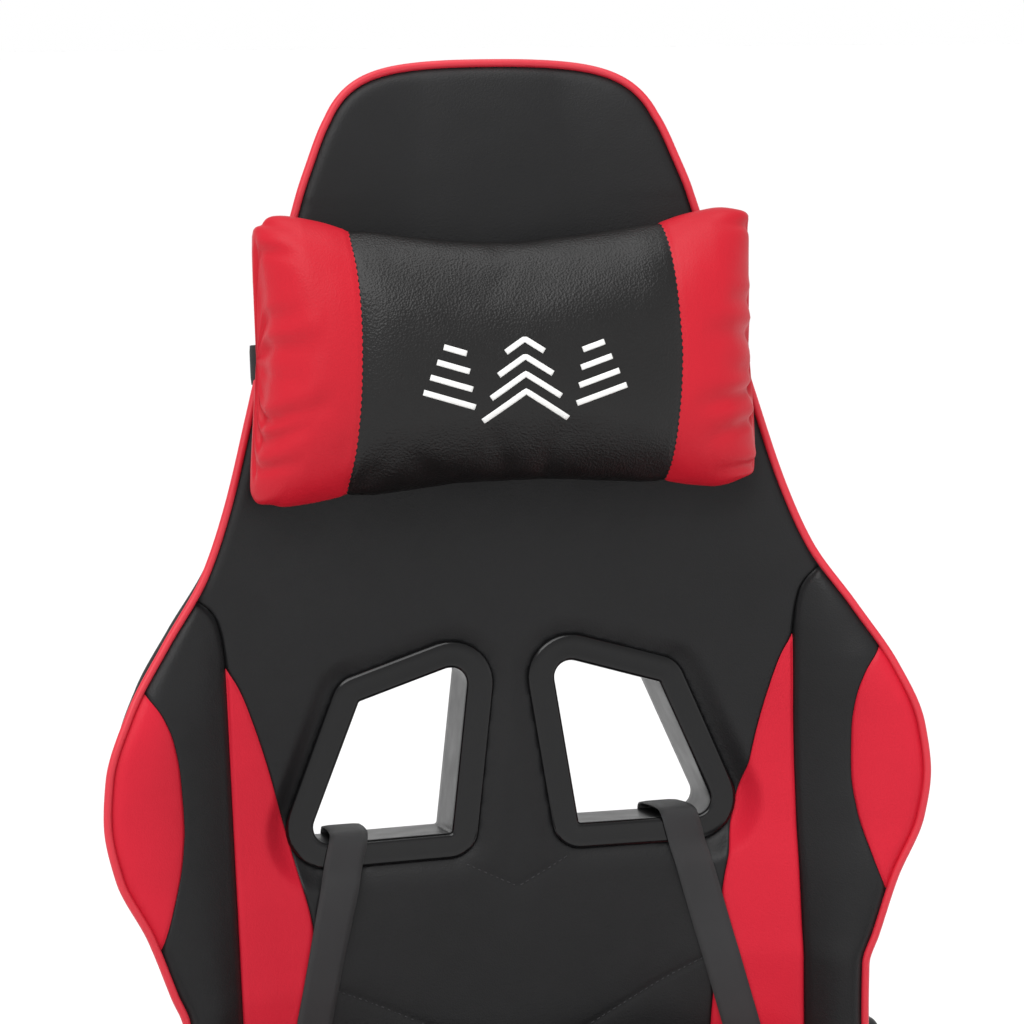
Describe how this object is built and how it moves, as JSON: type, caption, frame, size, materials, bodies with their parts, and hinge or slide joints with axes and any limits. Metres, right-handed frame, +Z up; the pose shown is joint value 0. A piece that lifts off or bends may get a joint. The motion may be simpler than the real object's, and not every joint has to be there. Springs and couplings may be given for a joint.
{
  "type": "gaming chair",
  "caption": "Racing-style swivel chair on a star base with casters, gas lift, rocking bucket seat, height-adjustable armrests and a reclining wing backrest with harness openings.",
  "frame": {"origin": "on the floor, on the swivel axis of the gas lift", "axes": "+Z up; the sitter faces -Y; +X is the sitter's left. Lift at its lowest, seat not rocked, backrest leaning 10 degrees back."},
  "size_m": [0.639, 0.6852, 1.242],
  "materials": {
    "nylon_black": "moulded nylon, fine texture",
    "wheel_red_black": "hard wheel with a red centre ring",
    "steel_bright": "ground steel",
    "steel_painted": "black powder coat",
    "plastic_black": "moulded, satin",
    "plastic_white": "acetal",
    "plastic_gloss": "polished",
    "plywood": "raw plywood",
    "cover_black": "imitation leather (coated fabric) over foam, fine grain",
    "cover_red_black": "red and black imitation leather over foam",
    "webbing": "woven elastic",
    "pad_soft": "polyurethane foam skin"
  },
  "bodies": {
    "base": {"base_star": "nylon_black", "caster_stems": "steel_bright", "column_tube": "steel_painted", "guide_bush": "plastic_white", "thrust_bearing": "steel_bright", "cover_sleeve_lower": "plastic_black"},
    "lift_rod": {"piston_rod": "steel_bright"},
    "lift": {"gas_cylinder": "steel_bright", "mechanism_housing": "steel_painted", "cover_sleeve_upper": "plastic_black", "tilt_pin": "steel_bright", "tilt_spring": "steel_painted", "spring_cap": "plastic_white"},
    "cover_middle": {"cover_sleeve_middle": "plastic_black"},
    "release_button": {"release_pin": "plastic_white"},
    "height_lever": {"height_lever": "plastic_black"},
    "tilt_lock": {"tilt_lock_lever": "plastic_black"},
    "tension_knob": {"tension_knob": "plastic_black"},
    "seat": {"seat_plate": "steel_painted", "seat_board": "plywood", "seat_cushion": "cover_black", "seat_bolster_left": "cover_red_black", "seat_bolster_right": "cover_red_black", "seat_bolts": "steel_bright", "hinge_brackets": "steel_painted", "hinge_covers": "plastic_black", "recliner_units": "steel_painted", "armrest_feet": "steel_painted", "armrest_sleeves": "plastic_black"},
    "recline_lever": {"recline_lever": "plastic_black"},
    "back": {"back_frame": "steel_painted", "back_cushion": "cover_black", "back_wing_left": "cover_red_black", "back_wing_right": "cover_red_black", "back_panel": "cover_black", "harness_bezel_left": "plastic_gloss", "harness_bezel_right": "plastic_gloss", "harness_rear_rings": "plastic_gloss", "hinge_arms": "steel_painted", "arm_trims": "plastic_black", "headrest_pillow": "cover_black", "headrest_band": "webbing", "lumbar_pillow": "cover_black", "lumbar_straps": "webbing"},
    "armrest_left": {"armrest_post_left": "plastic_black", "armrest_pad_left": "pad_soft"},
    "armrest_right": {"armrest_post_right": "plastic_black", "armrest_pad_right": "pad_soft"},
    "button_left": {"armrest_button_left": "plastic_black"},
    "button_right": {"armrest_button_right": "plastic_black"},
    "caster_1": {"caster_housing_1": "nylon_black"},
    "wheels_1": {"caster_wheels_1": "wheel_red_black"},
    "caster_2": {"caster_housing_2": "nylon_black"},
    "wheels_2": {"caster_wheels_2": "wheel_red_black"},
    "caster_3": {"caster_housing_3": "nylon_black"},
    "wheels_3": {"caster_wheels_3": "wheel_red_black"},
    "caster_4": {"caster_housing_4": "nylon_black"},
    "wheels_4": {"caster_wheels_4": "wheel_red_black"},
    "caster_5": {"caster_housing_5": "nylon_black"},
    "wheels_5": {"caster_wheels_5": "wheel_red_black"}
  },
  "joints": [
    {"name": "caster_swivel_1", "type": "hinge", "parent": "base", "child": "caster_1", "pos_m": [0, -0.3, 0.054], "axis": [0, 0, 1], "continuous": true},
    {"name": "wheel_spin_1", "type": "hinge", "parent": "caster_1", "child": "wheels_1", "pos_m": [-0.00845, -0.28187, 0.0275], "axis": [-0.9063, -0.4226, 0], "continuous": true},
    {"name": "caster_swivel_2", "type": "hinge", "parent": "base", "child": "caster_2", "pos_m": [0.28532, -0.0927, 0.054], "axis": [0, 0, 1], "continuous": true},
    {"name": "wheel_spin_2", "type": "hinge", "parent": "caster_2", "child": "wheels_2", "pos_m": [0.26547, -0.09514, 0.0275], "axis": [0.1219, -0.9925, 0], "continuous": true},
    {"name": "caster_swivel_3", "type": "hinge", "parent": "base", "child": "caster_3", "pos_m": [0.17634, 0.24271, 0.054], "axis": [0, 0, 1], "continuous": true},
    {"name": "wheel_spin_3", "type": "hinge", "parent": "caster_3", "child": "wheels_3", "pos_m": [0.17252, 0.22307, 0.0275], "axis": [0.9816, -0.1908, 0], "continuous": true},
    {"name": "caster_swivel_4", "type": "hinge", "parent": "base", "child": "caster_4", "pos_m": [-0.17634, 0.24271, 0.054], "axis": [0, 0, 1], "continuous": true},
    {"name": "wheel_spin_4", "type": "hinge", "parent": "caster_4", "child": "wheels_4", "pos_m": [-0.15884, 0.23301, 0.0275], "axis": [0.4848, 0.8746, 0], "continuous": true},
    {"name": "caster_swivel_5", "type": "hinge", "parent": "base", "child": "caster_5", "pos_m": [-0.28532, -0.0927, 0.054], "axis": [0, 0, 1], "continuous": true},
    {"name": "wheel_spin_5", "type": "hinge", "parent": "caster_5", "child": "wheels_5", "pos_m": [-0.27069, -0.07906, 0.0275], "axis": [-0.682, 0.7314, 0], "continuous": true},
    {"name": "seat_swivel", "type": "hinge", "parent": "base", "child": "lift_rod", "pos_m": [0, 0, 0.072], "axis": [0, 0, 1], "continuous": true},
    {"name": "seat_lift", "type": "slide", "parent": "lift_rod", "child": "lift", "axis": [0, 0, 1], "range_m": [0, 0.085]},
    {"name": "cover_middle_slide", "type": "slide", "parent": "base", "child": "cover_middle", "axis": [0, 0, 1], "range_m": [0, 0.0425]},
    {"name": "height_lever_pull", "type": "hinge", "parent": "lift", "child": "height_lever", "pos_m": [-0.1, 0.008, 0.314], "axis": [1, 0, 0], "range_deg": [0, 18], "stiffness_Nm_per_rad": 2, "springref_deg": -5.73},
    {"name": "release_press", "type": "slide", "parent": "lift", "child": "release_button", "axis": [0, 0, -1], "range_m": [0, 0.0028]},
    {"name": "tilt_lock_pull", "type": "slide", "parent": "lift", "child": "tilt_lock", "axis": [1, 0, 0], "range_m": [0, 0.012]},
    {"name": "tension_turn", "type": "hinge", "parent": "lift", "child": "tension_knob", "pos_m": [0, -0.082, 0.21], "axis": [0, 0, 1], "continuous": true},
    {"name": "seat_tilt", "type": "hinge", "parent": "lift", "child": "seat", "pos_m": [0, -0.045, 0.335], "axis": [-1, 0, 0], "range_deg": [0, 12], "stiffness_Nm_per_rad": 120, "springref_deg": -22.92},
    {"name": "recline_lever_pull", "type": "hinge", "parent": "seat", "child": "recline_lever", "pos_m": [-0.2653, 0.128, 0.417], "axis": [-1, 0, 0], "range_deg": [0, 25], "stiffness_Nm_per_rad": 1.5, "springref_deg": -17.19},
    {"name": "back_recline", "type": "hinge", "parent": "seat", "child": "back", "pos_m": [0, 0.175, 0.466], "axis": [-1, 0, 0], "range_deg": [-8, 45]},
    {"name": "armrest_left_height", "type": "slide", "parent": "seat", "child": "armrest_left", "axis": [0, 0, 1], "range_m": [0, 0.07]},
    {"name": "armrest_right_height", "type": "slide", "parent": "seat", "child": "armrest_right", "axis": [0, 0, 1], "range_m": [0, 0.07]},
    {"name": "button_left_press", "type": "slide", "parent": "seat", "child": "button_left", "axis": [-1, 0, 0], "range_m": [0, 0.0035], "stiffness_N_per_m": 300, "springref_m": -0.002},
    {"name": "button_right_press", "type": "slide", "parent": "seat", "child": "button_right", "axis": [1, 0, 0], "range_m": [0, 0.0035], "stiffness_N_per_m": 300, "springref_m": -0.002}
  ],
  "couplings": [
    {"joint": "cover_middle_slide", "follows": "seat_lift", "ratio": 0.5},
    {"joint": "release_press", "follows": "height_lever_pull", "m_per_rad": 0.008}
  ]
}
